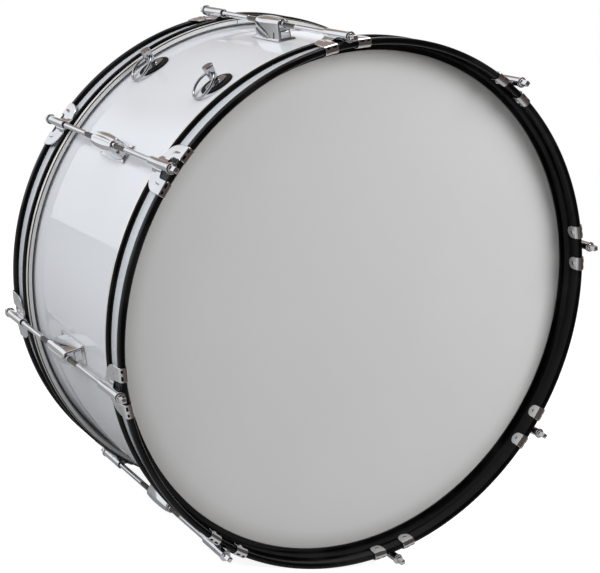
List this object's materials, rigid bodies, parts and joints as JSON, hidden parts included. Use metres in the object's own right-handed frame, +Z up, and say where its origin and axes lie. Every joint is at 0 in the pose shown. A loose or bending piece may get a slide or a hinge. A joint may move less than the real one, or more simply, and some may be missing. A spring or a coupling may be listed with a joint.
{
  "type": "marching bass drum",
  "caption": "Shallow double-headed bass drum with hoops clamped by claws and tension rods to centre lugs, and sling rings for a carrying strap.",
  "frame": {"origin": "on the floor below the middle of the drum, which stands on the bottom of its two hoops", "axes": "+Z up, +Y along the drum's axis towards the back head, +X to the right seen from the front"},
  "size_m": [0.581, 0.337, 0.581],
  "materials": {
    "white_shell": "white gloss wrap over plywood",
    "head_film": "smooth white polyester film",
    "flesh_hoop": "bare extruded metal",
    "black_hoop": "black gloss lacquer",
    "pale_inlay": "white gloss strip",
    "chrome": "bright plated metal",
    "black_rubber": "moulded rubber",
    "steel": "zinc plated nut"
  },
  "bodies": {
    "drum": {"shell": "white_shell", "front_head": "head_film", "front_flesh_hoop": "flesh_hoop", "front_hoop": "black_hoop", "front_hoop_inlay": "pale_inlay", "back_head": "head_film", "back_flesh_hoop": "flesh_hoop", "back_hoop": "black_hoop", "back_hoop_inlay": "pale_inlay", "lug_1": "chrome", "lug_2": "chrome", "lug_3": "chrome", "lug_4": "chrome", "lug_5": "chrome", "lug_6": "chrome", "lug_7": "chrome", "lug_8": "chrome", "front_claw_1": "chrome", "front_claw_2": "chrome", "front_claw_3": "chrome", "front_claw_4": "chrome", "front_claw_5": "chrome", "front_claw_6": "chrome", "front_claw_7": "chrome", "front_claw_8": "chrome", "back_claw_1": "chrome", "back_claw_2": "chrome", "back_claw_3": "chrome", "back_claw_4": "chrome", "back_claw_5": "chrome", "back_claw_6": "chrome", "back_claw_7": "chrome", "back_claw_8": "chrome", "front_sling_gasket": "black_rubber", "front_sling_post": "chrome", "front_sling_nut": "steel", "back_sling_gasket": "black_rubber", "back_sling_post": "chrome", "back_sling_nut": "steel"},
    "front_tension_rod_1": {"front_tension_rod_1": "chrome"},
    "front_tension_rod_2": {"front_tension_rod_2": "chrome"},
    "front_tension_rod_3": {"front_tension_rod_3": "chrome"},
    "front_tension_rod_4": {"front_tension_rod_4": "chrome"},
    "front_tension_rod_5": {"front_tension_rod_5": "chrome"},
    "front_tension_rod_6": {"front_tension_rod_6": "chrome"},
    "front_tension_rod_7": {"front_tension_rod_7": "chrome"},
    "front_tension_rod_8": {"front_tension_rod_8": "chrome"},
    "back_tension_rod_1": {"back_tension_rod_1": "chrome"},
    "back_tension_rod_2": {"back_tension_rod_2": "chrome"},
    "back_tension_rod_3": {"back_tension_rod_3": "chrome"},
    "back_tension_rod_4": {"back_tension_rod_4": "chrome"},
    "back_tension_rod_5": {"back_tension_rod_5": "chrome"},
    "back_tension_rod_6": {"back_tension_rod_6": "chrome"},
    "back_tension_rod_7": {"back_tension_rod_7": "chrome"},
    "back_tension_rod_8": {"back_tension_rod_8": "chrome"},
    "front_sling_ring": {"front_sling_ring": "chrome"},
    "back_sling_ring": {"back_sling_ring": "chrome"}
  },
  "joints": [
    {"name": "front_tension_rod_1_turn", "type": "hinge", "parent": "drum", "child": "front_tension_rod_1", "pos_m": [0.11335, -0.1585, 0.56415], "axis": [0, 1, 0], "continuous": true},
    {"name": "front_tension_rod_2_turn", "type": "hinge", "parent": "drum", "child": "front_tension_rod_2", "pos_m": [0.27365, -0.1585, 0.40385], "axis": [0, 1, 0], "continuous": true},
    {"name": "front_tension_rod_3_turn", "type": "hinge", "parent": "drum", "child": "front_tension_rod_3", "pos_m": [0.27365, -0.1585, 0.17715], "axis": [0, 1, 0], "continuous": true},
    {"name": "front_tension_rod_4_turn", "type": "hinge", "parent": "drum", "child": "front_tension_rod_4", "pos_m": [0.11335, -0.1585, 0.01685], "axis": [0, 1, 0], "continuous": true},
    {"name": "front_tension_rod_5_turn", "type": "hinge", "parent": "drum", "child": "front_tension_rod_5", "pos_m": [-0.11335, -0.1585, 0.01685], "axis": [0, 1, 0], "continuous": true},
    {"name": "front_tension_rod_6_turn", "type": "hinge", "parent": "drum", "child": "front_tension_rod_6", "pos_m": [-0.27365, -0.1585, 0.17715], "axis": [0, 1, 0], "continuous": true},
    {"name": "front_tension_rod_7_turn", "type": "hinge", "parent": "drum", "child": "front_tension_rod_7", "pos_m": [-0.27365, -0.1585, 0.40385], "axis": [0, 1, 0], "continuous": true},
    {"name": "front_tension_rod_8_turn", "type": "hinge", "parent": "drum", "child": "front_tension_rod_8", "pos_m": [-0.11335, -0.1585, 0.56415], "axis": [0, 1, 0], "continuous": true},
    {"name": "back_tension_rod_1_turn", "type": "hinge", "parent": "drum", "child": "back_tension_rod_1", "pos_m": [-0.11335, 0.1585, 0.56415], "axis": [0, 1, 0], "continuous": true},
    {"name": "back_tension_rod_2_turn", "type": "hinge", "parent": "drum", "child": "back_tension_rod_2", "pos_m": [-0.27365, 0.1585, 0.40385], "axis": [0, 1, 0], "continuous": true},
    {"name": "back_tension_rod_3_turn", "type": "hinge", "parent": "drum", "child": "back_tension_rod_3", "pos_m": [-0.27365, 0.1585, 0.17715], "axis": [0, 1, 0], "continuous": true},
    {"name": "back_tension_rod_4_turn", "type": "hinge", "parent": "drum", "child": "back_tension_rod_4", "pos_m": [-0.11335, 0.1585, 0.01685], "axis": [0, 1, 0], "continuous": true},
    {"name": "back_tension_rod_5_turn", "type": "hinge", "parent": "drum", "child": "back_tension_rod_5", "pos_m": [0.11335, 0.1585, 0.01685], "axis": [0, 1, 0], "continuous": true},
    {"name": "back_tension_rod_6_turn", "type": "hinge", "parent": "drum", "child": "back_tension_rod_6", "pos_m": [0.27365, 0.1585, 0.17715], "axis": [0, 1, 0], "continuous": true},
    {"name": "back_tension_rod_7_turn", "type": "hinge", "parent": "drum", "child": "back_tension_rod_7", "pos_m": [0.27365, 0.1585, 0.40385], "axis": [0, 1, 0], "continuous": true},
    {"name": "back_tension_rod_8_turn", "type": "hinge", "parent": "drum", "child": "back_tension_rod_8", "pos_m": [0.11335, 0.1585, 0.56415], "axis": [0, 1, 0], "continuous": true},
    {"name": "front_sling_ring_swing", "type": "hinge", "parent": "drum", "child": "front_sling_ring", "pos_m": [-0.20747, -0.0665, 0.49796], "axis": [0, 1, 0], "range_deg": [0, 230.8]},
    {"name": "back_sling_ring_swing", "type": "hinge", "parent": "drum", "child": "back_sling_ring", "pos_m": [-0.20747, 0.0845, 0.49796], "axis": [0, 1, 0], "range_deg": [0, 230.8]}
  ]
}
